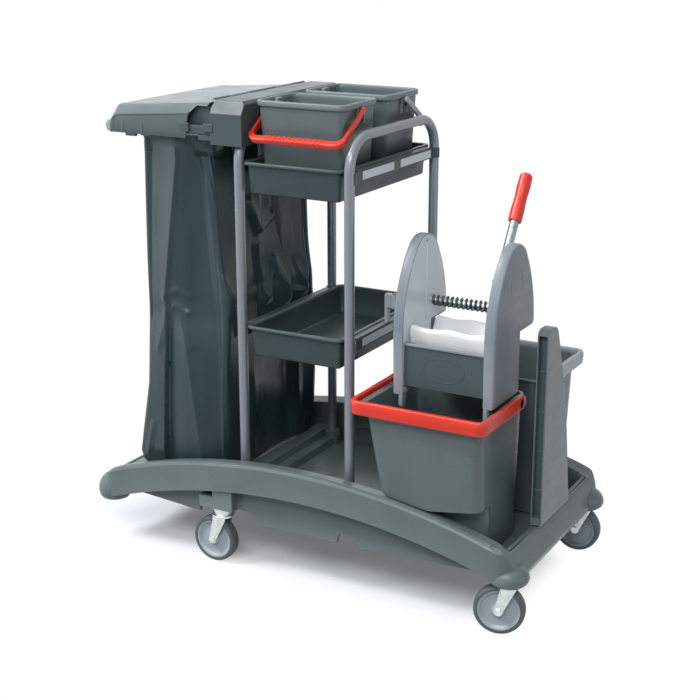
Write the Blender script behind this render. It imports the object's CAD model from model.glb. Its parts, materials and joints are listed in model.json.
"""Looks for the janitor cart: finishes, moulded edges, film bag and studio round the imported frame.

Shape functions work in millimetres; a mesh is turned to metres where it is made.
"""
import json
import math

import bmesh
import bpy
import numpy as np
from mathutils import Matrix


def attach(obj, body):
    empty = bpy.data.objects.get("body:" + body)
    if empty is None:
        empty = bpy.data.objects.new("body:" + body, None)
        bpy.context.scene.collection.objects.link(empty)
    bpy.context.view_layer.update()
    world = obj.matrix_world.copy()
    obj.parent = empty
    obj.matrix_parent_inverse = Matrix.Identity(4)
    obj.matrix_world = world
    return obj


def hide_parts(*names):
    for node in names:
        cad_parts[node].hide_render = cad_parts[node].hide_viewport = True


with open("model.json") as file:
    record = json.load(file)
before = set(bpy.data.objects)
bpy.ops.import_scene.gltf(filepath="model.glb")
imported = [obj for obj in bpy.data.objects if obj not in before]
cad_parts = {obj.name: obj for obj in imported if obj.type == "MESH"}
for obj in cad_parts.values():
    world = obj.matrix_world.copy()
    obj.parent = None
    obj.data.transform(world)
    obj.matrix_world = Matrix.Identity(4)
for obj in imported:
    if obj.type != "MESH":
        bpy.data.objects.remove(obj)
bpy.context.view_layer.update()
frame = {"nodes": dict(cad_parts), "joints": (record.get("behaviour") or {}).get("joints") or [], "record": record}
MM = 0.001
SLOTS = {part["node"]: part["material_slot"] for part in frame["record"]["subparts"]}
BODIES = {node: body for body, nodes in frame["record"]["behaviour"]["bodies"].items() for node in nodes}


# Materials
NOISE_SPAN = {"From Min": 0.3, "From Max": 0.7}    # most of a noise texture's values lie in here


def linear(colour):
    """sRGB hex to linear RGBA: c / 12.92 near black, else ((c + 0.055) / 1.055) to the power 2.4."""
    parts = [int(colour[k:k + 2], 16) / 255 for k in (0, 2, 4)]
    return [c / 12.92 if c <= 0.04045 else ((c + 0.055) / 1.055) ** 2.4 for c in parts] + [1.0]


def per_metre(size_mm):
    """Pattern scale on metre coordinates whose features are about size_mm across."""
    return 1 / (size_mm * MM)


def add(tree, kind, inputs, out=None, **settings):
    """Adds one shader node with its settings; an input is a value or the socket that it is linked to.

    Gives the node, or its output where out names one.
    """
    made = tree.nodes.new("ShaderNode" + kind)
    for key, value in settings.items():
        setattr(made, key, value)
    for key, value in inputs.items():
        if isinstance(value, bpy.types.NodeSocket):
            tree.links.new(value, made.inputs[key])
        else:
            made.inputs[key].default_value = value
    return made if out is None else made.outputs[out]


def bare_material(name):
    """Empty node material, its tree and its Object coordinates."""
    material = bpy.data.materials.new(name)
    material.use_nodes = True
    tree = material.node_tree
    tree.nodes.clear()
    return material, tree, add(tree, "TexCoord", {}, "Object")


def moulded(name, light, dark, edge, rough, specular=0.5, grain_mm=2.5, depth_mm=0.05):
    """Injection moulded plastic: cloudy flow tone, paler handled edges, eroded grain and uneven gloss.

    The real grain is about 0.2 mm; it is drawn coarser so that it shows.
    """
    material, tree, place = bare_material(name)
    flow = add(tree, "TexNoise", {"Vector": place, "Scale": per_metre(140), "Detail": 5.0}, "Fac")
    flow = add(tree, "MapRange", {"Value": flow, **NOISE_SPAN}, "Result")
    tone = add(tree, "Mix", {0: flow, 6: linear(dark), 7: linear(light)}, 2, data_type="RGBA")
    bend = add(tree, "NewGeometry", {}, "Pointiness")
    worn = add(tree, "MapRange", {"Value": bend, "From Min": 0.51, "From Max": 0.6, "To Max": 0.5}, "Result")
    colour = add(tree, "Mix", {0: worn, 6: tone, 7: linear(edge)}, 2, data_type="RGBA")
    wiped = add(tree, "Mapping", {"Vector": place, "Scale": (0.33, 0.33, 1)}, "Vector")
    scuff = add(tree, "TexNoise", {"Vector": wiped, "Scale": per_metre(18), "Detail": 4.0}, "Fac")
    gloss = add(tree, "MapRange", {"Value": scuff, **NOISE_SPAN, "To Min": rough - 0.05,
                                   "To Max": rough + 0.06}, "Result")
    grain = add(tree, "TexNoise", {"Vector": place, "Scale": per_metre(grain_mm), "Detail": 2.0}, "Fac")
    bump = add(tree, "Bump", {"Height": grain, "Strength": 0.5, "Distance": depth_mm * MM}, "Normal")
    shader = add(tree, "BsdfPrincipled", {"Base Color": colour, "Roughness": gloss, "Normal": bump,
                                          "IOR": 1.49, "Specular IOR Level": specular}, 0)
    add(tree, "OutputMaterial", {"Surface": shader})
    return material


def powder_coat(name, light, dark):
    """Silver powder coat on steel tube: fine flake in the tone and a soft orange peel."""
    material, tree, place = bare_material(name)
    flake = add(tree, "TexNoise", {"Vector": place, "Scale": per_metre(2), "Detail": 2.0}, "Fac")
    flake = add(tree, "MapRange", {"Value": flake, **NOISE_SPAN}, "Result")
    colour = add(tree, "Mix", {0: flake, 6: linear(dark), 7: linear(light)}, 2, data_type="RGBA")
    rubbed = add(tree, "TexNoise", {"Vector": place, "Scale": per_metre(60), "Detail": 3.0}, "Fac")
    gloss = add(tree, "MapRange", {"Value": rubbed, **NOISE_SPAN, "To Min": 0.3, "To Max": 0.4}, "Result")
    peel = add(tree, "TexNoise", {"Vector": place, "Scale": per_metre(5), "Detail": 1.0}, "Fac")
    bump = add(tree, "Bump", {"Height": peel, "Strength": 0.3, "Distance": 0.04 * MM}, "Normal")
    shader = add(tree, "BsdfPrincipled", {"Base Color": colour, "Roughness": gloss, "Normal": bump,
                                          "Metallic": 0.3, "Coat Weight": 0.2, "Coat Roughness": 0.25}, 0)
    add(tree, "OutputMaterial", {"Surface": shader})
    return material


def plated_steel(name, light, dark, rough):
    """Zinc plated steel: bright metal with blotchy passivation and fine drawn lines."""
    material, tree, place = bare_material(name)
    blotch = add(tree, "TexNoise", {"Vector": place, "Scale": per_metre(12), "Detail": 4.0}, "Fac")
    share = add(tree, "MapRange", {"Value": blotch, **NOISE_SPAN}, "Result")
    colour = add(tree, "Mix", {0: share, 6: linear(dark), 7: linear(light)}, 2, data_type="RGBA")
    gloss = add(tree, "MapRange", {"Value": blotch, **NOISE_SPAN, "To Min": rough - 0.08,
                                   "To Max": rough + 0.1}, "Result")
    drawn = add(tree, "Mapping", {"Vector": place, "Scale": (1, 1, 0.08)}, "Vector")
    lines = add(tree, "TexNoise", {"Vector": drawn, "Scale": per_metre(1.5), "Detail": 2.0}, "Fac")
    bump = add(tree, "Bump", {"Height": lines, "Strength": 0.25, "Distance": 0.03 * MM}, "Normal")
    shader = add(tree, "BsdfPrincipled", {"Base Color": colour, "Roughness": gloss, "Normal": bump,
                                          "Metallic": 1.0}, 0)
    add(tree, "OutputMaterial", {"Surface": shader})
    return material


def tyre_rubber(name, light, dark):
    """Grey non-marking rubber: matt, dusty patches and a fine moulded skin."""
    material, tree, place = bare_material(name)
    dust = add(tree, "TexNoise", {"Vector": place, "Scale": per_metre(25), "Detail": 5.0}, "Fac")
    share = add(tree, "MapRange", {"Value": dust, **NOISE_SPAN}, "Result")
    colour = add(tree, "Mix", {0: share, 6: linear(dark), 7: linear(light)}, 2, data_type="RGBA")
    gloss = add(tree, "MapRange", {"Value": dust, **NOISE_SPAN, "To Min": 0.5, "To Max": 0.7}, "Result")
    skin = add(tree, "TexNoise", {"Vector": place, "Scale": per_metre(1.5), "Detail": 3.0}, "Fac")
    bump = add(tree, "Bump", {"Height": skin, "Strength": 0.5, "Distance": 0.08 * MM}, "Normal")
    shader = add(tree, "BsdfPrincipled", {"Base Color": colour, "Roughness": gloss, "Normal": bump,
                                          "IOR": 1.52}, 0)
    add(tree, "OutputMaterial", {"Surface": shader})
    return material


def bag_film(name, light, dark):
    """Thin polyethylene film: smooth gloss, faint upright creases and a cloudy tone where it doubles."""
    material, tree, place = bare_material(name)
    hung = add(tree, "Mapping", {"Vector": place, "Scale": (1, 1, 0.2)}, "Vector")
    cloud = add(tree, "TexNoise", {"Vector": hung, "Scale": per_metre(90), "Detail": 3.0}, "Fac")
    tone = add(tree, "MapRange", {"Value": cloud, **NOISE_SPAN}, "Result")
    colour = add(tree, "Mix", {0: tone, 6: linear(dark), 7: linear(light)}, 2, data_type="RGBA")
    crease = add(tree, "TexNoise", {"Vector": hung, "Scale": per_metre(26), "Detail": 3.0}, "Fac")
    gloss = add(tree, "MapRange", {"Value": crease, **NOISE_SPAN, "To Min": 0.24, "To Max": 0.34}, "Result")
    bump = add(tree, "Bump", {"Height": crease, "Strength": 0.3, "Distance": 2.5 * MM}, "Normal")
    shader = add(tree, "BsdfPrincipled", {"Base Color": colour, "Roughness": gloss, "Normal": bump,
                                          "IOR": 1.51, "Specular IOR Level": 0.22}, 0)
    add(tree, "OutputMaterial", {"Surface": shader})
    return material


FINISH = {
    "body_grey": moulded("grey_polypropylene", "606c6e", "586466", "879193", 0.32, 0.36),
    "dark_plastic": moulded("dark_grey_polypropylene", "3c494d", "354246", "5c686c", 0.36, 0.26),
    "tube_paint": powder_coat("silver_powder_coat", "858a92", "787e86"),
    "zinc_steel": plated_steel("zinc_plated_steel", "dfe5e4", "c6cdcd", 0.3),
    "pale_plastic": moulded("pale_grey_polystyrene", "a1aab1", "97a1a9", "b9c1c6", 0.35),
    "silver_plastic": moulded("silver_grey_polypropylene", "7a828a", "727a82", "a2aab0", 0.36, 0.3),
    "liner_plastic": moulded("silvery_polypropylene", "d2dde4", "c8d3da", "e0e8ec", 0.34),
    "tyre_rubber": tyre_rubber("grey_rubber", "565e62", "474f53"),
    "bag_film": bag_film("polyethylene_film", "38474b", "24363b"),
    "red_plastic": moulded("red_polypropylene", "d9331e", "d12b18", "e26755", 0.34),
    "white_plastic": moulded("natural_nylon", "e6e8e8", "dcdfdf", "f2f2f1", 0.4),
    "spring_steel": plated_steel("oiled_spring_wire", "5b6366", "3f474a", 0.4),
    "lever_tube": plated_steel("satin_zinc_tube", "8f9598", "7f8588", 0.36),
}


# Shapes: points of a surface as whole arrays over two parameters, in millimetres
def grid(points, wrap_u=False, wrap_v=True, caps=False):
    """Points P[u, v] joined to quads between neighbours; a wrap closes a direction, caps close both ends."""
    n, m = points.shape[:2]
    i = np.arange(n if wrap_u else n - 1)[:, None]
    j = np.arange(m if wrap_v else m - 1)[None, :]
    over, along = (i + 1) % n, (j + 1) % m
    faces = np.stack(np.broadcast_arrays(i * m + j, i * m + along, over * m + along, over * m + j), -1)
    faces = faces.reshape(-1, 4).tolist()
    if caps:
        faces += [list(range(m))[::-1], list(range((n - 1) * m, n * m))]
    return points.reshape(-1, 3), faces


def grow(edge, d):
    """Rectangle [left, right, front, rear] moved outwards by d on every side."""
    return np.asarray(edge, float) + d * np.array([-1, 1, -1, 1])


def outline(edge, r, side_steps=1, corner_steps=6):
    """Rounded rectangle, anticlockwise: quarter circles of radius r, straight runs in equal steps."""
    x0, x1, y0, y1 = edge
    centres = np.array([[x1 - r, y0 + r], [x1 - r, y1 - r], [x0 + r, y1 - r], [x0 + r, y0 + r]])
    turn = np.radians(90 * np.arange(-1, 3)[:, None] + np.linspace(0, 90, corner_steps + 1)[None, :])
    arcs = centres[:, None, :] + r * np.stack([np.cos(turn), np.sin(turn)], -1)
    starts, ends = arcs[:, -1:], np.roll(arcs[:, :1], -1, 0)
    runs = starts + (ends - starts) * np.linspace(0, 1, side_steps + 1)[None, 1:-1, None]
    return np.concatenate([arcs, runs], 1).reshape(-1, 2)


def stacked(levels, side_steps=1, corner_steps=6):
    """Rounded rectangles carried up a profile; a level is its edges, corner radius and height."""
    rings = np.stack([outline(edge, r, side_steps, corner_steps) for edge, r, _ in levels])
    heights = np.array([z for _, _, z in levels], float)
    return np.dstack([rings, np.broadcast_to(heights[:, None], rings.shape[:2])])


def vessel(edge, rim_z, profile, rim_r, least_r=6):
    """Open vessel: its wall profile (outwards, upwards from the rim) carried round a rounded rectangle."""
    return stacked([(grow(edge, out), max(rim_r + out, least_r), rim_z + up) for out, up in profile])


def slab(low, high):
    """Box from its two corners: four corner points carried from the low height to the high one."""
    (x0, y0, z0), (x1, y1, z1) = low, high
    ring = np.array([[x0, y0], [x1, y0], [x1, y1], [x0, y1]], float)
    return grid(np.stack([np.c_[ring, np.full(4, float(z))] for z in (z0, z1)]), caps=True)


def turned(profile, centre, axis, steps=48):
    """Profile (radius r, height h) turned about an axis: P = centre + h axis + r (cos a, sin a)."""
    axis = np.asarray(axis, float) / np.linalg.norm(axis)
    side = np.cross(axis, [0, 0, 1] if abs(axis[2]) < 0.9 else [1, 0, 0])
    side /= np.linalg.norm(side)
    turn = np.linspace(0, 2 * np.pi, steps, endpoint=False)[:, None]
    round_axis = np.cos(turn) * side + np.sin(turn) * np.cross(axis, side)
    radius, along = np.asarray(profile, float).T
    return np.asarray(centre) + along[:, None, None] * axis + radius[:, None, None] * round_axis[None]


def carried(path, across, up, section):
    """Section (s, t) carried along a path: P = path + s across + t up at each step."""
    section = np.broadcast_to(section, (len(path),) + np.shape(section)[-2:])
    return path[:, None] + section[..., :1] * across[:, None] + section[..., 1:] * up[:, None]


def arc(centre, r, start, end, steps):
    """Points on a circle between two angles in degrees."""
    turn = np.radians(np.linspace(start, end, steps))
    return np.asarray(centre) + r * np.c_[np.cos(turn), np.sin(turn)]


def even(points, step):
    """Points of a line spread again at equal steps along its length."""
    length = np.r_[0, np.cumsum(np.linalg.norm(np.diff(points, axis=0), axis=1))]
    at = np.linspace(0, length[-1], max(2, int(round(length[-1] / step)) + 1))
    return np.stack([np.interp(at, length, points[:, k]) for k in range(points.shape[1])], 1)


def mirrored(part, y=0.0):
    """The same (points, faces) surface on the other side of an upright plane across Y: y' = 2 y0 - y."""
    points, faces = part
    return points * np.array([1, -1, 1]) + np.array([0, 2 * y, 0]), faces


BEAD_R = 0.8


def bead_ring(centre, side, up, half, out):
    """Thin bead carried round an ellipse of half axes a and b: P = centre + a cos t side + b sin t up."""
    t = np.linspace(0, 2 * np.pi, 96, endpoint=False)[:, None]
    side, up = np.array(side, float), np.array(up, float)
    path = np.array(centre) + half[0] * np.cos(t) * side + half[1] * np.sin(t) * up
    outward = np.cos(t) / half[0] * side + np.sin(t) / half[1] * up
    outward /= np.linalg.norm(outward, axis=1)[:, None]
    wire = arc((0, 0), BEAD_R, 0, 360, 9)[:-1]
    return grid(carried(path, outward, np.broadcast_to(np.array(out, float), path.shape), wire), wrap_u=True)


# Pieces
JOIN_MM = 0.004            # points closer than this are one
FLAT_ANGLE = 0.05          # faces that bend less than this, in degrees, are one
MOULD_SHARP = 30           # edges of a moulded copy that bend more than this are rounded


def merge_and_face(mesh, flat=0.0):
    """Joins doubled points, joins faces flatter than an angle in degrees, and turns faces outwards."""
    work = bmesh.new()
    work.from_mesh(mesh)
    bmesh.ops.remove_doubles(work, verts=work.verts, dist=JOIN_MM * MM)
    if flat:
        bmesh.ops.dissolve_limit(work, angle_limit=math.radians(flat), verts=work.verts, edges=work.edges)
    bmesh.ops.recalc_face_normals(work, faces=work.faces)
    work.to_mesh(mesh)
    work.free()


def placed(name, data):
    """New object in the scene."""
    obj = bpy.data.objects.new(name, data)
    bpy.context.scene.collection.objects.link(obj)
    return obj


def finish_piece(name, mesh, node, replaced, bevel, segments, sharp, wall=0.0, slot=None):
    """Object at the origin with wall, rounded edges and finish, riding on the body of a CAD node."""
    obj = placed(name, mesh)
    if wall:
        thick = obj.modifiers.new("wall", "SOLIDIFY")
        thick.thickness = wall * MM
        thick.offset = -1
    if bevel:
        edge = obj.modifiers.new("rounded_edge", "BEVEL")
        edge.width = bevel * MM
        edge.segments = segments
        edge.limit_method = "ANGLE"
        edge.angle_limit = math.radians(sharp)
        edge.use_clamp_overlap = False
        edge.harden_normals = True
    mesh.shade_smooth()
    mesh.set_sharp_from_angle(angle=math.radians(sharp))
    mesh.materials.clear()
    mesh.materials.append(FINISH[slot or SLOTS[node]])
    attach(obj, BODIES[node])
    if replaced:
        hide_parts(*replaced)


def piece(name, parts, node, replaced=(), bevel=0.0, segments=2, sharp=35, wall=0.0, slot=None):
    """One piece from several (points, faces) surfaces."""
    starts = np.cumsum([0] + [len(points) for points, _ in parts])
    faces = [[start + k for k in face] for start, (_, own) in zip(starts, parts) for face in own]
    mesh = bpy.data.meshes.new(name)
    mesh.from_pydata((np.concatenate([points for points, _ in parts]) * MM).tolist(), [], faces)
    merge_and_face(mesh)
    finish_piece(name, mesh, node, replaced, bevel, segments, sharp, wall, slot)


def rounded_copy(node, bevel, slot=None, shaped=None):
    """Copy of a CAD node with flat faces joined and edges rounded; shaped is a formula on its points."""
    mesh = frame["nodes"][node].data.copy()
    if "custom_normal" in mesh.attributes:
        mesh.attributes.remove(mesh.attributes["custom_normal"])
    if shaped is not None:
        points = np.empty(3 * len(mesh.vertices), np.float32)
        mesh.vertices.foreach_get("co", points)
        mesh.vertices.foreach_set("co", np.ravel(shaped(points.reshape(-1, 3) / MM) * MM))
    merge_and_face(mesh, FLAT_ANGLE)
    finish_piece(node + "_moulded", mesh, node, [node], bevel, 2, MOULD_SHARP, slot=slot)


# Driving sizes that the pieces share with the solids; an edge is [left, right, front, rear]
FRAME_LEFT_X, FRAME_RIGHT_X = -177.5, 129.5
TRAY_EDGE = np.array([-163.5, 115.5, -240.0, 240.0])
TRAY_RIM_Z = {"upper_tray": 1061.0, "lower_tray": 650.0}
SMALL_RIM_Z = 1208.0
SMALL_EDGE = {"front": np.array([-138.5, 107.5, -215.0, -35.0]),
              "rear": np.array([-138.5, 107.5, 11.0, 191.0])}
MOP_RIM_Z = 530.0
MOP_EDGE = np.array([212.5, 510.5, -310.0, -45.0])
MOP_FLANGE = np.array([196.5, 516.5, -314.0, -41.0])
MOP_PIN_Y, MOP_PIN_Z = -100.0, 522.0


# Trays: wall profile (outwards from the edge, upwards from the rim), from the floor's outside to its inside
TRAY_PROFILE = [(-24, -79), (-18, -78.4), (-14.2, -75), (-9.3, -9), (-1.5, -8), (0, -6.5), (0, -1.8),
                (-1.8, 0), (-9.5, 0), (-11.8, -2.5), (-12.3, -9), (-17, -72), (-20, -75.8), (-26, -76)]
TAB_HALF, TAB_LAP = 195.0, 4.0
TAB_UNDER, TAB_TOP = -6.0, -3.0    # heights from the rim
RIM_CORNER_R = 24.0


def build_tray(node):
    """Tray: wall profile with a rolled lip carried round its rim, and a tab along each end over its rail."""
    z = TRAY_RIM_Z[node]
    parts = [grid(vessel(TRAY_EDGE, z, TRAY_PROFILE, RIM_CORNER_R), caps=True)]
    for x0, x1 in ((FRAME_LEFT_X, TRAY_EDGE[0]), (TRAY_EDGE[1], FRAME_RIGHT_X)):
        parts.append(slab((x0 - TAB_LAP, -TAB_HALF, z + TAB_UNDER), (x1 + TAB_LAP, TAB_HALF, z + TAB_TOP)))
    piece(node + "_shell", parts, node, [node], bevel=0.8, sharp=50, slot="dark_plastic")


# Small buckets
SMALL_PROFILE = [(-28, -223), (-21, -222), (-18, -218), (-6, -15), (-1.5, -14), (0, -12.5), (0, -2.2),
                 (-2.2, 0), (-5.5, 0), (-7.6, -2), (-8.4, -12), (-20.6, -214), (-23, -219), (-30, -220)]
# Foot and top of a pivot pocket: its near and far side from the bucket's end, half width, height from the rim
POCKET = ((10, 26, 24, -46), (7, 20, 11, -3))
POCKET_CORNER_R = 4.0
# A rib beside it: near and far side from the bucket's end, distance from the pivot, thickness, foot and top
RIB_NEAR, RIB_FAR, RIB_ASIDE, RIB_T, RIB_FOOT, RIB_TOP = 1.2, 10.0, 14.0, 4.0, -52.0, -12.0
PIVOT_BOSS = [(6, 0.8), (10, 0.8), (10, 9.8), (6, 9.8)]
SMALL_PIVOT_DROP = 18.0


def build_small_bucket(side):
    """Small bucket: wall profile with a deep rolled rim, and at each end a pivot pocket between two ribs."""
    edge, node = SMALL_EDGE[side], "small_bucket_" + side
    x0, x1, y0, y1 = edge
    mid = (y0 + y1) / 2
    z = SMALL_RIM_Z
    parts = [grid(vessel(edge, z, SMALL_PROFILE, RIM_CORNER_R), caps=True)]
    for x, s in ((x0, 1), (x1, -1)):
        pocket = [(sorted((x + near * s, x + far * s)) + [mid - half, mid + half], POCKET_CORNER_R, z + up)
                  for near, far, half, up in POCKET]
        parts.append(grid(stacked(pocket), caps=True))
        a, b = sorted((x + RIB_NEAR * s, x + RIB_FAR * s))
        for y in (mid - RIB_ASIDE - RIB_T / 2, mid + RIB_ASIDE - RIB_T / 2):
            parts.append(slab((a, y, z + RIB_FOOT), (b, y + RIB_T, z + RIB_TOP)))
        parts.append(grid(turned(PIVOT_BOSS, (x, mid, z - SMALL_PIVOT_DROP), (s, 0, 0)), caps=True))
    piece(node + "_shell", parts, node, [node], bevel=0.8, sharp=50)


# Mop buckets
MOP_WAIST = np.array([246.5, 508.5, -285.0, -53.0])
MOP_FOOT_TOP = np.array([246.5, 508.5, -246.0, -53.0])
MOP_FOOT = np.array([262.5, 507.5, -243.0, -59.0])
MOP_WAIST_Z, MOP_ABOVE_Z = 272.0, 310.0
MOP_SHOULDER_Z = (297.0, 302.0)        # foot's top and waist, away from the step
MOP_FLOOR_Z, MOP_WALL, MOP_CORNER_R = 164.3, 3.0, 22.0
# The step over the base's rail: its line (places along X, heights), where it starts and its run along Y
MOP_STEP = ((211.5, 372.5, 511.5), (303.0, 278.0, 300.0))
MOP_STEP_Y, MOP_STEP_RUN = -224.0, 22.0
MOP_STEP_ROWS = slice(3, 5)


def build_mop_bucket(side):
    """Mop bucket: rounded sections carried from foot to flange and down the inside.

    The step over the base's rail follows a bent line along X, so those two rows take their height from it.
    """
    node = "mop_bucket_" + side
    share = (MOP_ABOVE_Z - MOP_WAIST_Z) / (MOP_RIM_Z - MOP_WAIST_Z)
    above = MOP_WAIST + share * (MOP_EDGE - MOP_WAIST)
    inner, r = -MOP_WALL, MOP_CORNER_R
    inner_r = r - MOP_WALL
    levels = [(grow(MOP_FOOT, -6), 16, MOP_FLOOR_Z), (grow(MOP_FOOT, -1.5), 20, MOP_FLOOR_Z + 1.5),
              (MOP_FOOT, r, MOP_FLOOR_Z + 6), (MOP_FOOT_TOP, r, MOP_SHOULDER_Z[0]),
              (MOP_WAIST, r, MOP_SHOULDER_Z[1]), (above, r, MOP_ABOVE_Z), (MOP_EDGE, r, MOP_RIM_Z - 8),
              (grow(MOP_FLANGE, -1.5), r, MOP_RIM_Z - 7), (MOP_FLANGE, r, MOP_RIM_Z - 5.5),
              (MOP_FLANGE, r, MOP_RIM_Z - 1.5), (grow(MOP_FLANGE, -1.5), r, MOP_RIM_Z),
              (grow(MOP_EDGE, inner + 1.5), inner_r + 1.5, MOP_RIM_Z),
              (grow(MOP_EDGE, inner), inner_r, MOP_RIM_Z - 3), (grow(above, inner), inner_r, MOP_ABOVE_Z + 2),
              (grow(MOP_WAIST, inner), inner_r, MOP_ABOVE_Z - 3),
              (grow(MOP_FOOT_TOP, inner), inner_r, MOP_ABOVE_Z - 5),
              (grow(MOP_FOOT, inner), inner_r, MOP_FLOOR_Z + 8),
              (grow(MOP_FOOT, -8), 16, MOP_FLOOR_Z + MOP_WALL)]
    points = stacked(levels, side_steps=16)
    x, y, z = np.moveaxis(points[MOP_STEP_ROWS], 2, 0)
    step = np.interp(x, *MOP_STEP) + [[2], [0]]
    share = np.clip((MOP_STEP_Y - y) / MOP_STEP_RUN, 0, 1)
    points[MOP_STEP_ROWS, :, 2] = share * step + (1 - share) * z
    parts = [grid(points, caps=True)]
    for x0, x1 in ((MOP_FLANGE[0], MOP_EDGE[0] + 3), (MOP_EDGE[1] - 3, MOP_FLANGE[1])):
        parts.append(slab((x0, MOP_PIN_Y - 20, MOP_PIN_Z - 14), (x1, MOP_PIN_Y + 20, MOP_RIM_Z - 0.2)))
    if side == "rear":
        parts = [mirrored(part) for part in parts]
    piece(node + "_shell", parts, node, [node], bevel=1.0, sharp=50)


# Bails
SMALL_REACH, SMALL_TILT, SMALL_BAND, SMALL_GAP = 138.0, 34.0, 15.0, 4.5
GRIP_HALF, GRIP_WAVE, GRIP_RISE = 84.0, 14.0, 1.3
MOP_BAIL_X0, MOP_BAIL_X1, MOP_BAIL_REACH, MOP_BAND = 186.5, 526.5, 230.0, 34.0
CREASE_OUT, CREASE_SPREAD = 1.6, 7.0
# Thickness of the bar, of the arms next to it and at the pivots
SMALL_WIDTHS, MOP_WIDTHS = (17, 9, 5), (14, 12, 12)
# Round ends on the pivots: radius and distance inwards
SMALL_END = [(4, 0), (7.2, 0), (7.5, 0.6), (7.5, 5), (4, 5), (4, 12), (3, 12)]
MOP_END = [(6, 0), (16.4, 0), (17, 0.8), (17, 12), (6, 12), (6, 24), (5, 25)]


def bail_line(x0, x1, reach, r, step):
    """Middle line of a U-shaped bail in its own plane: arm, quarter circle, bar, quarter circle, arm."""
    points = np.concatenate([[[x0, 0.0]], arc((x0 + r, -reach + r), r, 180, 270, 16),
                             arc((x1 - r, -reach + r), r, 270, 360, 16), [[x1, 0.0]]])
    return even(points, step)


def bail_surface(line, widths, height, tilt, pivot, bump):
    """Rounded section, as wide as widths, changed by bump, carried along the bail's line and tilted."""
    ring = outline([-0.5, 0.5, -0.5, 0.5], 0.22, 4, 4)
    section = ring[None] * np.stack([widths, np.full(len(line), height)], -1)[:, None]
    section = bump(line, section)
    step = np.gradient(line, axis=0)
    step /= np.linalg.norm(step, axis=1)[:, None]
    c, s = math.cos(math.radians(tilt)), math.sin(math.radians(tilt))
    turn = np.array([[1, 0, 0], [0, c, s], [0, -s, c]])
    flat = np.c_[line, np.zeros(len(line))] @ turn + pivot
    across = np.c_[step[:, 1], -step[:, 0], np.zeros(len(line))] @ turn
    up = np.broadcast_to(np.array([0, 0, 1]) @ turn, flat.shape)
    return carried(flat, across, up, section)


def build_small_bail(side):
    """Small bail: flat arms that widen into a grip bar with finger ribs, resting tilted down on the front."""
    edge, node = SMALL_EDGE[side], "small_bail_" + side
    x0, x1 = edge[0] - SMALL_GAP, edge[1] + SMALL_GAP
    mid_x = (x0 + x1) / 2
    line = bail_line(x0, x1, SMALL_REACH - 9, 22, 1.5)
    widths = np.interp(line[:, 1], (-SMALL_REACH + 9, -SMALL_REACH + 32, 0), SMALL_WIDTHS)

    def ribs(along, section):
        """Upper side raised in cosine waves, one to each GRIP_WAVE, over the middle of the bar."""
        gap = np.abs(along[:, 0] - mid_x)
        grip = np.clip((GRIP_HALF - gap) / 8, 0, 1) * (along[:, 1] < -SMALL_REACH + 30)
        wave = GRIP_RISE * grip * (1 + np.cos(2 * np.pi * (along[:, 0] - mid_x) / GRIP_WAVE))
        section[..., 1] += wave[:, None] * (section[..., 1] > 5)
        return section
    pivot = np.array([0, edge[2:].mean(), SMALL_RIM_Z - SMALL_PIVOT_DROP])
    points = bail_surface(line, widths, SMALL_BAND, SMALL_TILT, pivot, ribs)
    parts = [grid(points, caps=True)]
    for x, s in ((edge[0] - 7, 1), (edge[1] + 7, -1)):
        parts.append(grid(turned(SMALL_END, (x, pivot[1], pivot[2]), (s, 0, 0)), caps=True))
    if side == "rear":
        parts = [mirrored(part, pivot[1]) for part in parts]
    piece(node + "_bar", parts, node, [node], sharp=60)


def build_mop_bail(side):
    """Mop bail: a deep band round the bucket's rim with a shallow curved crease along its front."""
    node = "mop_bail_" + side
    line = bail_line(MOP_BAIL_X0, MOP_BAIL_X1, MOP_BAIL_REACH - 7, 20, 4)
    widths = np.interp(line[:, 1], (-MOP_BAIL_REACH + 8, -MOP_BAIL_REACH + 30, 0), MOP_WIDTHS)

    def crease(along, section):
        """Outer side bulges by CREASE_OUT about a line that falls from the band's ends to its middle."""
        share = np.clip((along[:, 0] - MOP_BAIL_X0) / (MOP_BAIL_X1 - MOP_BAIL_X0), 0, 1)
        fall = 9 - 26 * share * (1 - share) - 3 * share
        outer = section[..., 0] > 4
        ridge = np.exp(-((section[..., 1] - fall[:, None]) / CREASE_SPREAD) ** 2)
        section[..., 0] += CREASE_OUT * outer * ridge * (along[:, 1] < -MOP_BAIL_REACH + 30)[:, None]
        return section
    points = bail_surface(line, widths, MOP_BAND, 0, np.array([0, MOP_PIN_Y, MOP_PIN_Z]), crease)
    parts = [grid(points, caps=True)]
    for x, s in ((MOP_BAIL_X0 - 6, 1), (MOP_BAIL_X1 + 6, -1)):
        parts.append(grid(turned(MOP_END, (x, MOP_PIN_Y, MOP_PIN_Z), (s, 0, 0)), caps=True))
    if side == "rear":
        parts = [mirrored(part) for part in parts]
    piece(node + "_band", parts, node, [node], sharp=60)


for tray_node in TRAY_RIM_Z:
    build_tray(tray_node)
for bucket_side in ("front", "rear"):
    build_small_bucket(bucket_side)
    build_small_bail(bucket_side)
    build_mop_bucket(bucket_side)
    build_mop_bail(bucket_side)


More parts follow.
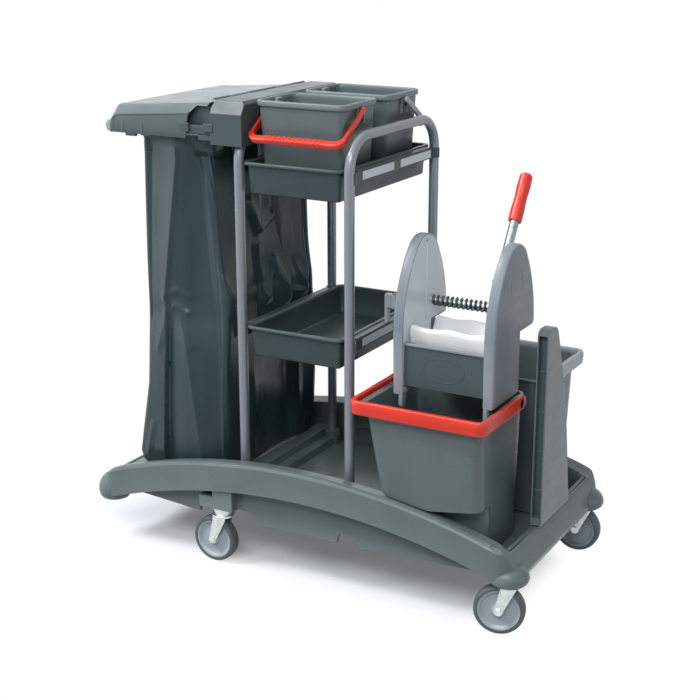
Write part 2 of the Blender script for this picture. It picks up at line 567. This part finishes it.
# Lid
LID_LEFT_X, LID_RIGHT_X = -549.5, -260.5
LID_SKIRT_Z, LID_LOW_Z, LID_HIGH_Z = 1107.0, 1179.0, 1198.0
LID_BEND = 30.0
HOLDER_HALF = 245.0
LID_CHAMFER_Y, LID_CHAMFER_Z = 22.0, 24.0
ARCH_GAP_X, ARCH_GAP_R, ARCH_GAP_H = -318.5, 30.0, 82.0
HINGE_X, HINGE_Z, KNUCKLE_R = -253.5, 1199.0, 6.5
BARREL_SPANS = ((-150.0, -60.0), (60.0, 150.0))
LIP_LEFT_X, LIP_HALF, LIP_R, LIP_END = -611.0, 200.0, 15.0, 12.0
LID_CROWN, LID_BEAD, LID_WALL = 3.0, 1.8, 3.0
LID_ROWS, LID_COLUMNS = 110, 25
LID_RIBS_X = (-514.0, -454.0)
# Catches on the lid's front: two corners each, along X, from the front face and from the skirt's edge
LID_CATCHES = (((-505, 1, -7), (-474, 12, 2)), ((-458, 1, -3), (-424, 12, 3)),
               ((-335, -2, 16), (-309, 6, 38)))
# Arm that carries the ring, lower arm and clamp: two corners each, with Y from the holder's front face
RING_ARM = ((-314, 4, 1118), (-247, 14, 1140))
LOWER_ARM = ((-286, 5, 1104), (-248, 15, 1117))
RING_CLAMP = ((-266, -2, 1126), (-238, 5, 1146))


def build_lid():
    """Lid shell: a chamfered cross section carried along the lid's top line and down its rounded left end.

    The skirt's lower edge rises in a quarter ellipse into the arched gap near the hinge; where it passes the
    chamfer, the section is cut back along the chamfer's slope. A bead runs along the chamfer's lower edge.
    """
    top = np.concatenate([[[LID_LEFT_X, LID_SKIRT_Z + 2], [LID_LEFT_X, LID_SKIRT_Z + 12]],
                          arc((LID_LEFT_X + LID_BEND, LID_LOW_Z - LID_BEND), LID_BEND, 180, 96, 12),
                          np.c_[np.linspace(LID_LEFT_X + 40, LID_RIGHT_X, LID_ROWS),
                                np.linspace(LID_LOW_Z + 1, LID_HIGH_Z, LID_ROWS)]])
    x, z = top.T
    share = np.clip((x - ARCH_GAP_X) / ARCH_GAP_R, 0, 1)
    low = LID_SKIRT_Z + ARCH_GAP_H * np.sqrt(1 - (1 - share) ** 2)
    crown = LID_CROWN * np.clip((x - LID_LEFT_X) / 60, 0, 1)
    shoulder = z - LID_CHAMFER_Z * np.clip((z - LID_SKIRT_Z) / 60, 0, 1)
    past = np.maximum(low - shoulder, 0)
    half = HOLDER_HALF - past * LID_CHAMFER_Y / LID_CHAMFER_Z
    bead = LID_BEAD * np.clip((x - LID_LEFT_X) / 20, 0, 1) * (past == 0)
    room = np.maximum(shoulder - low, 0)
    flat_y = HOLDER_HALF - LID_CHAMFER_Y
    share_y = np.linspace(-1, 1, LID_COLUMNS)
    wide = np.broadcast_to(flat_y * share_y, (len(x), LID_COLUMNS))
    middle = np.maximum(z[:, None] - crown[:, None] * (share_y ** 2)[None], low[:, None])
    side_y = np.stack([half, half, half + bead, half + bead, half - 1], 1)
    side_z = np.stack([low, shoulder - np.minimum(5, 0.6 * room), shoulder - np.minimum(3, 0.3 * room),
                       shoulder, shoulder + 1.2], 1)
    side_z = np.maximum(side_z, low[:, None])
    ys = np.concatenate([-side_y, wide, side_y[:, ::-1]], 1)
    heights = np.concatenate([side_z, middle, side_z[:, ::-1]], 1)
    shell = np.dstack([np.broadcast_to(x[:, None], heights.shape), ys, heights])
    piece("bag_lid_shell", [grid(shell, wrap_v=False)], "bag_lid", ["bag_lid"], wall=LID_WALL)


def build_lid_fittings():
    """Grip lip, hinge barrels, short ribs, catches and the arches' dark inner walls.

    The lip is a half round section carried along Y; it shrinks by up to a quarter over LIP_END at each end.
    """
    centre = np.array([LID_LEFT_X, LID_SKIRT_Z + 6])
    section = np.concatenate([arc((LIP_LEFT_X + LIP_R, centre[1]), LIP_R, 270, 90, 12),
                              centre + [[2, LIP_R], [2, -LIP_R]]])
    inner = LIP_HALF - LIP_END
    ys = np.r_[-LIP_HALF, 4 - LIP_HALF, np.linspace(-inner, inner, 9), LIP_HALF - 4, LIP_HALF]
    swell = 1 - 0.25 * np.clip((np.abs(ys) - inner) / LIP_END, 0, 1) ** 2
    x, z = np.moveaxis(centre + (section - centre)[None] * swell[:, None, None], 2, 0)
    lip = np.dstack([x, np.broadcast_to(ys[:, None], x.shape), z])
    piece("bag_lid_lip", [grid(lip, caps=True)], "bag_lid", bevel=1.2, slot="silver_plastic")
    parts = []
    for y0, y1 in BARREL_SPANS:
        rod = [(3.2, y0), (KNUCKLE_R - 0.6, y0), (KNUCKLE_R, y0 + 0.6), (KNUCKLE_R, y1 - 0.6),
               (KNUCKLE_R - 0.6, y1), (3.2, y1)]
        parts.append(grid(turned(rod, (HINGE_X, 0, HINGE_Z), (0, 1, 0), 24), wrap_u=True))
        parts.append(slab((LID_RIGHT_X - 8, y0 + 1, HINGE_Z - 5), (HINGE_X - 4, y1 - 1, HINGE_Z - 1.5)))
    front, low = -HOLDER_HALF, LID_SKIRT_Z
    parts += [slab((x, front - 1.4, low + 3), (x + 3, front + 2, low + 27)) for x in LID_RIBS_X]
    piece("bag_lid_fittings", parts, "bag_lid", bevel=1.2)
    wall = slab((ARCH_GAP_X - 6, front + 24, low + 30), (LID_RIGHT_X - 1, front + 27, LID_HIGH_Z - 12))
    catches = [slab(*np.add(corners, [0, front, low])) for corners in LID_CATCHES]
    piece("bag_lid_catches", catches + [wall, mirrored(wall)], "bag_lid", bevel=1.5, slot="dark_plastic")


def build_ring_arms():
    """Arms that carry the bag ring out of the holder through the lid's arches, and their clamps."""
    arm, lower, clamp = [slab(*np.add(corners, [0, -HOLDER_HALF, 0]))
                         for corners in (RING_ARM, LOWER_ARM, RING_CLAMP)]
    piece("bag_ring_arms", [arm, mirrored(arm)], "holder_block", bevel=2.5, segments=3, slot="dark_plastic")
    clamps = [clamp, lower, mirrored(lower)]
    piece("bag_ring_clamps", clamps, "holder_block", bevel=1.5, slot="dark_plastic")


# Refuse bag
BAG_LEVEL_Z = (196.3, 205.0, 216.0, 240.0, 440.0, 660.0, 1050.0, 1092.0, 1109.0)
BAG_EDGES = np.array([[-505.5, -263.5, -196, 196], [-519.5, -249.5, -208, 208], [-527.5, -243.5, -214, 214],
                      [-532.5, -241.5, -218, 218], [-498, -243, -217, 217], [-488, -245, -216, 216],
                      [-474, -256, -218, 222], [-473, -258, -220, 222], [-479.5, -261.5, -226, 226]], float)
BAG_CORNER_R = 20.0
BAG_ROWS, BAG_STEPS = 170, (90, 10)    # rows upwards; steps along a side and round a corner
BAG_ROWS_FROM = 226.0
FOLDS_LOW_Z, FOLDS_HIGH_Z = 200.0, 1120.0    # the folds weaken towards these
BELLY_Z, BELLY_SPREAD, BELLY_OUT = 650.0, 90.0, 16.0
WAIST_Z, WAIST_SPREAD, WAIST_IN, SAG_OUT = 640.0, 40.0, 4.0, 5.0    # the sag is below the waist
RING_Z, RING_R, RING_LEFT_X, RING_HALF = 1118.0, 8.0, -471.5, 222.0
# Flat facets between crease lines: each line's places and rises at four heights, from the top down
FRONT_HEIGHTS = (1045.0, 690.0, 560.0, 270.0)
FRONT_LINES = np.array([[-452, -471, -478, -513], [-359, -413, -415, -430], [-350, -404, -409, -424],
                        [-341, -388, -344, -303], [-311, -285, -270, -258], [-293, -262, -254, -252],
                        [-262, -249, -247, -247]], float)
FRONT_RISES = np.array([[-10, -8, -6, -6], [18, 16, 14, 16], [10, 8, 0, -4], [6, 5, 20, 24],
                        [-16, -22, -20, -4], [-10, -14, -14, 0], [-14, -17, -16, -5]], float)
RIGHT_HEIGHTS = (900.0, 700.0, 440.0, 260.0)
RIGHT_LINES = np.array([[-205, -205, -205, -205], [-45, -30, -105, -105], [50, 72, 86, 86],
                        [94, 92, 100, 100], [160, 160, 132, 130], [187, 190, 160, 160],
                        [212, 212, 212, 212]], float)
RIGHT_RISES = np.array([[-12, 4, -6, -4], [18, -22, 10, 7], [-14, 20, -16, -13], [-16, -8, -14, -11],
                        [20, 22, 8, 7], [-4, 0, 2, 2], [9, 8, 22, 14]], float)
# Single folds: place and height of one end, of the other end, half width, rise
FRONT_FOLDS = [(-280, 1090, -240, 930, 11, 6), (-300, 1060, -262, 960, 10, 4), (-419, 688, -383, 708, 15, 4),
               (-383, 708, -348, 692, 15, 4), (-411, 650, -390, 668, 13, 4), (-390, 668, -354, 650, 13, 4),
               (-354, 650, -330, 570, 20, 4), (-412, 640, -446, 540, 22, 4),
               (-470, 330, -500, 230, 18, 4)]
RIGHT_FOLDS = [(-91, 934, -42, 849, 26, 8), (-42, 849, 47, 875, 22, 9), (47, 875, 53, 960, 20, 6),
               (-43, 815, -14, 655, 26, 9), (24, 758, 71, 640, 24, 8), (24, 758, -5, 660, 18, 6),
               (87, 656, 139, 644, 16, 7), (125, 735, 150, 650, 18, 6), (-212, 752, -165, 606, 18, 9),
               (-100, 470, -112, 250, 30, 5), (-150, 1080, -120, 930, 22, 8)]


def facets(place, z, heights, lines, rises):
    """Flat panels: between neighbouring lines the rise runs straight from one line's to the next one's."""
    down = -np.array(heights)
    line, rise = [np.stack([np.interp(-z[:, 0], down, row) for row in table])[:, :, None]
                  for table in (lines, rises)]
    slope = (rise[1:] - rise[:-1]) / (line[1:] - line[:-1])
    run = np.clip(place[None], line[:-1], line[1:]) - line[:-1]
    return rise[0] + (slope * run).sum(0)


def folds(place, z, table):
    """Sum of creases: each stands on a straight line and falls away to nothing at its half width."""
    a, za, b, zb, width, rise = np.array(table, float).T[:, :, None, None]
    length = np.hypot(b - a, zb - za)
    along = ((place - a) * (b - a) + (z - za) * (zb - za)) / length
    gap = np.abs((place - a) * (zb - za) - (z - za) * (b - a)) / length / width
    ends = np.clip(1 - np.maximum(-along, along - length) / 14, 0, 1)
    return (rise * np.clip(1 - gap, 0, 1) ** 1.2 * ends).sum(0)


def pleats(place, z, phase):
    """Hanging pleats: two sine waves of about 150 and 85 mm that wander with height and fade downwards."""
    wander = 16 * np.sin(z / 190 + phase) + 0.08 * (z - 650)
    broad = 5 * np.sin((place + wander) / 24 + phase)
    fine = 3 * np.sin((place - 1.4 * wander) / 13.5 + 2 * phase) * (0.6 + 0.4 * np.sin(place / 61 + phase))
    return (broad + fine) * np.clip((z - 230) / 500, 0.15, 1)


def build_bag():
    """Film bag: rounded sections through the height levels, swollen by its sag, with folds along the normals.

    The top rows turn over the ring and hang down inside as a cuff.
    """
    heights = np.r_[np.array(BAG_LEVEL_Z[:3]), np.linspace(BAG_ROWS_FROM, BAG_LEVEL_Z[-1], BAG_ROWS)]
    edges = np.stack([np.interp(heights, BAG_LEVEL_Z, column) for column in BAG_EDGES.T], 1)
    rings = stacked([(edge, BAG_CORNER_R, z) for edge, z in zip(edges, heights)], *BAG_STEPS)
    step = np.roll(rings, -1, 1) - np.roll(rings, 1, 1)
    normal = np.dstack([step[..., 1], -step[..., 0], np.zeros(step.shape[:2])])
    normal /= np.linalg.norm(normal, axis=2, keepdims=True)
    x, y, z = np.moveaxis(rings, 2, 0)
    front, right = np.clip(-normal[..., 1], 0, 1) ** 2, np.clip(normal[..., 0], 0, 1) ** 2
    rear, left = np.clip(normal[..., 1], 0, 1) ** 2, np.clip(-normal[..., 0], 0, 1) ** 2
    fade = np.clip((z - FOLDS_LOW_Z) / 60, 0, 1) * np.clip((FOLDS_HIGH_Z - z) / 40, 0.3, 1)
    belly = BELLY_OUT * np.exp(-((z - BELLY_Z) / BELLY_SPREAD) ** 2)
    waist = WAIST_IN * np.exp(-((z - WAIST_Z) / WAIST_SPREAD) ** 2)
    sag = SAG_OUT * np.sin(np.pi * np.clip((z - FOLDS_LOW_Z) / (WAIST_Z - FOLDS_LOW_Z), 0, 1)) - waist
    front_out = facets(x, z, FRONT_HEIGHTS, FRONT_LINES, FRONT_RISES) + folds(x, z, FRONT_FOLDS)
    right_out = facets(y, z, RIGHT_HEIGHTS, RIGHT_LINES, RIGHT_RISES) + folds(y, z, RIGHT_FOLDS) + belly
    out = (front * front_out + right * right_out + rear * pleats(x, z, 0.4) + left * pleats(y, z, 2.1)
           + sag * (1 - left)) * fade
    skin = rings + normal * out[..., None]
    cuff = np.r_[arc((0, RING_Z), RING_R + 1, 0, 180, 9), [[-RING_R - 2, 1098], [-RING_R - 5, 1060]]]
    over = stacked([([RING_LEFT_X - o, BAG_EDGES[-1, 1], -RING_HALF - o, RING_HALF + o], BAG_CORNER_R + o, h)
                    for o, h in cuff], *BAG_STEPS)
    points, faces = grid(np.concatenate([skin, over]))
    faces.append(list(range(rings.shape[1]))[::-1])
    piece("refuse_bag_film", [(points, faces)], "refuse_bag", ["refuse_bag"], sharp=80, wall=0.8)


# Wringer
PLATE_T = 27.0
INNER_X0, INNER_X1 = 279.5, 486.5
PLATE_LOW_Z, PLATE_MID_Z, PLATE_TOP_Z = 540.0, 690.0, 908.0
PLATE_FRONT_Y, PLATE_REAR_Y, PLATE_APEX_Y = -240.0, 0.0, -115.0
LEG_FRONT_Y, LEG_REAR_Y = -236.0, -84.0
CAP_R, PLATE_CORNER_R = 66.0, 14.0
FOOT_W, FOOT_DROP, FOOT_LAP, FOOT_CORNER_R = 34.0, 36.0, 6.0, 12.0
LINER_RIB, LINER_RIB_DROP = [(0.4, 0), (1.6, 1), (1.6, 196), (0.4, 198)], 214.0
LINER_PIN, LINER_PIN_DROP = [(0.5, 0.6), (3.4, 0.6), (3.8, 0.2), (3.8, -1)], 17.0
WALL_T = 3.0
BOSS_Z, BOSS_R = 815.0, 34.0           # ring on the right plate, about the lever's axis
JAW_ROOM, JAW_HALF, JAW_TIP_R, JAW_WAVE, JAW_PIN_Z = 4.0, 8.0, 9.0, 2.2, 612.0
JAW_PLACES = {"front": (-190.0, -203.0, 705.0), "rear": (-112.0, -64.0, 694.0)}
SHAFT_Y, SHAFT_Z = -90.0, 741.0
SPRING_TURNS, SPRING_R, SPRING_WIRE = 16, 11.5, 5.0
BASKET_FRONT_Y, BASKET_TOP_Z = -230.0, 665.0
OVAL_Z, OVAL_HALF = 613.0, (52.0, 29.0)


def plate_outline(d):
    """Side plate outline in (y, z), d inside its edge: two flank circles that touch a round cap, over a leg.

    A flank's radius R with half width h, cap radius r and rise c is (h h + c c - r r) / (2 (h - r)).
    """
    rise = PLATE_TOP_Z - CAP_R - PLATE_MID_Z
    halves = np.array([PLATE_APEX_Y - PLATE_FRONT_Y, PLATE_REAR_Y - PLATE_APEX_Y])
    front_r, rear_r = (halves ** 2 + rise ** 2 - CAP_R ** 2) / (2 * (halves - CAP_R))
    front_c = np.array([PLATE_FRONT_Y + front_r, PLATE_MID_Z])
    rear_c = np.array([PLATE_REAR_Y - rear_r, PLATE_MID_Z])
    cap = np.array([PLATE_APEX_Y, PLATE_MID_Z + rise])
    front_a = math.degrees(math.atan2(rise, cap[0] - front_c[0]))
    rear_a = math.degrees(math.atan2(rise, cap[0] - rear_c[0]))
    leg_rear = LEG_REAR_Y - d
    leg = [(LEG_FRONT_Y + d, PLATE_LOW_Z + d), (leg_rear, PLATE_LOW_Z + d), (leg_rear, PLATE_MID_Z + d)]
    corner = (PLATE_REAR_Y - PLATE_CORNER_R, PLATE_MID_Z + PLATE_CORNER_R)
    first = math.degrees(math.asin(PLATE_CORNER_R / rear_r))
    return np.concatenate([leg, arc(corner, PLATE_CORNER_R - d, -90, 0, 7),
                           arc(rear_c, rear_r - d, first, rear_a, 24)[1:],
                           arc(cap, CAP_R - d, rear_a, front_a, 24)[1:],
                           arc(front_c, front_r - d, front_a, 180, 24)[1:]])


def across(outlines, places):
    """Outlines in (y, z) set side by side at places along X."""
    rings = np.stack(outlines)
    return np.dstack([np.broadcast_to(np.asarray(places, float)[:, None], rings.shape[:2]), rings])


def build_plate(side):
    """Side plate: its outline carried from the rounded outer face to the liner's rim, and a foot.

    The liner gets an upright rib and a pin head near its top.
    """
    face, s = {"left": (INNER_X0, 1), "right": (INNER_X1, -1)}[side]
    outer = face - s * PLATE_T
    depth = [(0, 8), (0.3, 5), (1.6, 2), (4, 0.5), (7, 0), (PLATE_T - 1.5, 0), (PLATE_T - 0.4, 0.4),
             (PLATE_T, 1.2), (PLATE_T, WALL_T - 0.2), (PLATE_T - 2.2, WALL_T)]
    shell = across([plate_outline(d) for _, d in depth], [outer + s * x for x, _ in depth])
    foot_edge = np.array([LEG_FRONT_Y, LEG_FRONT_Y + FOOT_W, PLATE_LOW_Z - FOOT_DROP, PLATE_LOW_Z + FOOT_LAP])
    foot = [(PLATE_T - 12, 2.5), (PLATE_T - 10, 0), (PLATE_T - 2, 0), (PLATE_T, 2.5)]
    tongue = across([outline(grow(foot_edge, -d), FOOT_CORNER_R - d) for _, d in foot],
                    [outer + s * x for x, _ in foot])
    parts = [grid(shell, caps=True), grid(tongue, caps=True)]
    if side == "right":
        centre = (outer, PLATE_APEX_Y - 5, BOSS_Z)
        parts.append(bead_ring(centre, (0, 1, 0), (0, 0, 1), (BOSS_R, BOSS_R), (1, 0, 0)))
    node, liner = "wringer_plate_" + side, "wringer_liner_" + side
    piece(node + "_shell", parts, node, [node], sharp=40)
    rib = turned(LINER_RIB, (face, PLATE_APEX_Y, PLATE_TOP_Z - LINER_RIB_DROP), (0, 0, 1), 12)
    piece("liner_rib_" + side, [grid(rib, caps=True)], liner, sharp=60)
    pin = turned(LINER_PIN, (face, PLATE_APEX_Y, PLATE_TOP_Z - LINER_PIN_DROP), (s, 0, 0), 24)
    piece("liner_pin_" + side, [grid(pin, caps=True)], liner, sharp=40, slot="spring_steel")


def build_basket_ledge():
    """Pale ledge along the top of the basket's front wall."""
    x0, x1 = INNER_X0 + 0.6, INNER_X1 - 0.6
    parts = [slab((x0, BASKET_FRONT_Y - 4, BASKET_TOP_Z - 3), (x1, BASKET_FRONT_Y + 12, BASKET_TOP_Z + 3))]
    piece("basket_front_ledge", parts, "wringer_basket", bevel=1.5, segments=3, slot="silver_plastic")


def build_jaw(side):
    """Pressing jaw: a section with a round top and a round hinge edge, carried along X; its top is wavy."""
    pivot_y, tip_y, tip_z = JAW_PLACES[side]
    node = "jaw_" + side
    lean = math.degrees(math.atan2(tip_y - pivot_y, tip_z - JAW_PIN_Z))
    top = arc((tip_y, tip_z - JAW_TIP_R), JAW_TIP_R, -lean, 180 - lean, 9)
    foot = arc((pivot_y, JAW_PIN_Z), JAW_HALF, 180 - lean, 360 - lean, 9)
    section = np.concatenate([top, even(np.stack([top[-1], foot[0]]), 12)[1:-1], foot,
                              even(np.stack([foot[-1], top[0]]), 12)[1:-1]])
    x0, x1 = INNER_X0 + JAW_ROOM, INNER_X1 - JAW_ROOM
    x = np.r_[x0, x0 + 1, np.linspace(x0 + 4, x1 - 4, 60), x1 - 1, x1]
    trim = 1 - np.interp(x, (x0, x0 + 1, x0 + 4, x1 - 4, x1 - 1, x1), (0.22, 0.09, 0, 0, 0.09, 0.22))
    middle = section.mean(0)
    shape = middle + (section - middle)[None] * trim[:, None, None]
    height = np.clip((section[:, 1] - JAW_PIN_Z) / (tip_z - JAW_PIN_Z), 0, 1) ** 3
    wave = JAW_WAVE * np.cos(4 * np.pi * (x - x0) / (x1 - x0)) - 1
    z = shape[..., 1] + wave[:, None] * height[None]
    points = np.dstack([np.broadcast_to(x[:, None], z.shape), shape[..., 0], z])
    piece(node + "_pad", [grid(points, caps=True)], node, [node], sharp=60)


def build_spring():
    """Return spring: a round wire carried along a helix round the shaft, between the two liners."""
    t = np.linspace(0, 1, SPRING_TURNS * 24 + 1)
    a = 2 * np.pi * SPRING_TURNS * t
    lead = SPRING_WIRE
    path = np.c_[INNER_X0 + lead + (INNER_X1 - INNER_X0 - 2 * lead) * t, SHAFT_Y + SPRING_R * np.cos(a),
                 SHAFT_Z + SPRING_R * np.sin(a)]
    radial = np.c_[np.zeros_like(a), np.cos(a), np.sin(a)]
    along = np.gradient(path, axis=0)
    along /= np.linalg.norm(along, axis=1)[:, None]
    ring = arc((0, 0), SPRING_WIRE / 2, 0, 360, 13)[:-1]
    wire = grid(carried(path, radial, np.cross(along, radial), ring), caps=True)
    piece("wringer_spring_coil", [wire], "wringer_spring", ["wringer_spring"], sharp=60)


def build_oval_bead():
    """Bare oval bead on the basket's front."""
    centre = ((INNER_X0 + INNER_X1) / 2, BASKET_FRONT_Y, OVAL_Z)
    bead = bead_ring(centre, (1, 0, 0), (0, 0, 1), OVAL_HALF, (0, -1, 0))
    piece("basket_oval_bead", [bead], "wringer_basket", sharp=60)


# Base: per end, its noses' place in X and Y, lowest point, scale in radius and in height
NOSES = {-1: (580.0, 263.0, 111.5, 0.9, 1.36), 1: (575.0, 258.0, 127.0, 1.0, 1.0)}
NOSE_PROFILE = [(6, 0.6), (30, 0), (41, 3), (47, 8.5), (50, 17), (49, 26), (45, 35), (38, 43), (28, 49),
                (14, 53), (3, 54)]
END_X, END_FALL, RAIL_INNER_Y = 603.0, 27.0, 253.0
LEFT_RUN, RIGHT_RUN = 62.0, 43.0
FALL_LOW_Z, FALL_BLEND = 150.0, 45.0     # the fall starts here and is whole this much higher
# Two corners each: strip that closes the gap under a rail's arch, floor of the upright's recess
CLOSER = ((-430, RAIL_INNER_Y + 0.5, 188), (-232, RAIL_INNER_Y + 3.5, 230))
UPRIGHT_WEB = ((566, -88, 234), (589, -85, 701))


def falling_ends(points):
    """Rails' tops fall towards the base's ends by END_FALL s s; s runs from 0 to 1 over the end's run."""
    run = np.where(points[:, 0] < 0, LEFT_RUN, RIGHT_RUN)
    s = np.clip(1 - (END_X - np.abs(points[:, 0])) / run, 0, 1)
    points[:, 2] -= END_FALL * s ** 2 * np.clip((points[:, 2] - FALL_LOW_Z) / FALL_BLEND, 0, 1)
    return points


def build_noses():
    """Soft nose over each corner of the base: a bulging profile turned about an upright line."""
    parts = []
    for e, (x, y, z, wide, tall) in NOSES.items():
        profile = [(r * wide, h * tall) for r, h in NOSE_PROFILE]
        parts += [grid(turned(profile, (e * x, f * y, z), (0, 0, 1), 64), caps=True) for f in (-1, 1)]
    piece("base_corner_noses", parts, "corner_bumpers", ["corner_bumpers"], sharp=50)


# Wheels: half profiles of tyre and hub (radius, distance along the axle)
TREAD = [(51.5, 15.5), (56, 16), (59.2, 14.6), (61.4, 11.5), (62.3, 7), (62.5, 0)]
HUB_WEB = [(6.1, 17.5), (12.5, 17.5), (14, 16.5), (17, 10), (20, 8.6), (40, 7.6), (43, 8.6), (46, 12.8),
           (48, 14), (51.4, 14)]


def build_wheel(corner):
    """Wheel: rounded tyre and stepped hub turned about the axle."""
    joint = next(j for j in frame["joints"] if j["name"] == "roll_" + corner)
    centre, axis = np.array(joint["pos_m"]) / MM, np.array(joint["axis"])
    tyre = TREAD + [(r, -h) for r, h in TREAD[-2::-1]]
    hub = HUB_WEB + [(r, -h) for r, h in HUB_WEB[::-1]]
    for node, profile in (("tyre_" + corner, tyre), ("hub_" + corner, hub)):
        shell = grid(turned(profile, centre, axis, 72), wrap_u=True)
        piece(node + "_turned", [shell], node, [node], sharp=38)


build_lid()
build_lid_fittings()
build_ring_arms()
build_bag()
build_plate("left")
build_plate("right")
build_basket_ledge()
build_jaw("front")
build_jaw("rear")
build_spring()
build_oval_bead()
build_noses()
piece("base_rail_closers", [slab(*CLOSER), mirrored(slab(*CLOSER))], "base_bag_platform")
piece("end_upright_web", [slab(*UPRIGHT_WEB)], "end_upright", slot="dark_plastic")
for wheel_corner in ("fl", "fr", "rl", "rr"):
    build_wheel(wheel_corner)
    rounded_copy("fork_" + wheel_corner, 0.8)
for solid in ("base_main", "base_bag_platform"):
    rounded_copy(solid, 0.6, shaped=falling_ends)
for solid, radius in (("end_upright", 1.4), ("wringer_basket", 1.0), ("upper_tray_rails", 0.8),
                      ("lower_tray_rails", 0.8), ("tool_clip", 0.8)):
    rounded_copy(solid, radius)
rounded_copy("holder_block", 1.6, "dark_plastic")
rounded_copy("label_strips", 0.4, "liner_plastic")


# CAD nodes that keep their own shape get their slot's finish
for name, obj in frame["nodes"].items():
    if not obj.material_slots:
        obj.data.materials.append(None)
    for place in obj.material_slots:
        place.material = FINISH[SLOTS[name]]


# Studio: white paper that keeps the shadow near the cart, white surroundings and soft lamps
FLOOR_HALF = 12.0
STUDIO_WHITE = "ffffff"
PAPER = "e9f0f6"
PAPER_BOUNCE = "9a9fa4"    # what the paper throws back on the cart
NEAR_GLOW = 0.12           # share of its own white that the paper shows under the cart
SHADOW_HALF = (0.52, 0.15, 0)     # half lengths of the shadow's rectangle, in metres
SHADOW_SHIFT = (0.10, 0.02, 0)    # how far it lies to the front left
SHADOW_FADE = 0.16         # distance over which it fades to white
AMBIENT = 0.24             # light from the surroundings


def seen_directly(tree):
    """1 for rays from the eye, in reflections and through clear things, else 0."""
    rays = add(tree, "LightPath", {}).outputs
    direct = add(tree, "Math", {0: rays["Is Camera Ray"], 1: rays["Is Glossy Ray"]}, 0, operation="MAXIMUM")
    return add(tree, "Math", {0: direct, 1: rays["Is Transmission Ray"]}, 0, operation="MAXIMUM")


def build_floor():
    """Flat floor just under the wheels: to the eye its own white, but near the cart mostly lit paper."""
    mesh = bpy.data.meshes.new("studio_floor")
    corners = np.array([[-1, -1, 0], [1, -1, 0], [1, 1, 0], [-1, 1, 0]]) * FLOOR_HALF
    mesh.from_pydata(corners.tolist(), [], [[0, 1, 2, 3]])
    floor = placed("studio_floor", mesh)
    material, tree, place = bare_material("studio_paper")
    direct = seen_directly(tree)
    moved = add(tree, "VectorMath", {0: place, 1: SHADOW_SHIFT}, 0, operation="ADD")
    folded = add(tree, "VectorMath", {0: moved}, 0, operation="ABSOLUTE")
    past = add(tree, "VectorMath", {0: folded, 1: SHADOW_HALF}, 0, operation="SUBTRACT")
    past = add(tree, "VectorMath", {0: past, 1: (0, 0, 0)}, 0, operation="MAXIMUM")
    away = add(tree, "VectorMath", {0: past}, "Value", operation="LENGTH")
    glow = add(tree, "MapRange", {"Value": away, "From Max": SHADOW_FADE, "To Min": NEAR_GLOW, "To Max": 1.0},
               "Result", interpolation_type="SMOOTHSTEP")
    share = add(tree, "Math", {0: direct, 1: glow}, 0, operation="MULTIPLY")
    tone = add(tree, "Mix", {0: direct, 6: linear(PAPER_BOUNCE), 7: linear(PAPER)}, 2, data_type="RGBA")
    paper = add(tree, "BsdfDiffuse", {"Color": tone}, 0)
    white = add(tree, "Emission", {"Color": linear(STUDIO_WHITE), "Strength": 1.0}, 0)
    both = add(tree, "MixShader", {0: share, 1: paper, 2: white}, 0)
    add(tree, "OutputMaterial", {"Surface": both})
    mesh.materials.append(material)


def build_world():
    """Surroundings: white to the eye and in reflections, dimmer as light on the object."""
    world = bpy.data.worlds.new("studio")
    bpy.context.scene.world = world
    world.use_nodes = True
    tree = world.node_tree
    tree.nodes.clear()
    direct = seen_directly(tree)
    dim = add(tree, "Background", {"Color": linear(STUDIO_WHITE), "Strength": AMBIENT}, 0)
    white = add(tree, "Background", {"Color": linear(STUDIO_WHITE), "Strength": 1.0}, 0)
    both = add(tree, "MixShader", {0: direct, 1: dim, 2: white}, 0)
    add(tree, "OutputWorld", {"Surface": both})


def softbox(name, place, target, size, watts):
    """Square area lamp at a place in metres, turned towards its target and hidden from the camera."""
    lamp = bpy.data.lights.new(name, "AREA")
    lamp.size = size
    lamp.energy = watts
    obj = placed(name, lamp)
    back = np.array(place) - np.array(target)
    turn = math.atan2(back[0], -back[1])
    tilt = math.atan2(np.hypot(back[0], back[1]), back[2])
    obj.location = place
    obj.rotation_euler = (tilt, 0, turn)
    obj.visible_camera = False


build_floor()
build_world()
CART_MIDDLE = (0.0, 0.0, 0.6)
softbox("overhead", (0.5, 0.6, 4.2), CART_MIDDLE, 2.6, 14)
softbox("upper_left", (-5.3, -3.65, 7.7), CART_MIDDLE, 3.2, 790)
softbox("front", (-0.2, -5.0, 4.8), CART_MIDDLE, 1.8, 90)
softbox("front_right", (1.6, -3.8, 3.8), CART_MIDDLE, 1.6, 85)
softbox("right", (3.6, 0.1, 0.6), (-0.24, 0.0, 0.75), 1.0, 8)
softbox("left", (-3.2, -1.2, 0.6), (-0.36, -0.2, 0.7), 1.4, 8)
softbox("rear_left", (-2.1, 2.5, 1.9), (-0.4, 0.0, 1.1), 2.4, 7)


# Camera at the photograph's place and angle
VIEW_DOWN, VIEW_ROUND = 17.25, 29.05     # degrees
view_camera = bpy.data.cameras.new("photo_view")
view_camera.lens = 71.92
view_camera.sensor_width = 36.0
photo_view = placed("photo_view", view_camera)
photo_view.location = (1.6957, -3.0430, 1.6271)
photo_view.rotation_euler = (math.radians(90 - VIEW_DOWN), 0, math.radians(VIEW_ROUND))
bpy.context.scene.camera = photo_view
bpy.context.scene.view_settings.view_transform = "Standard"
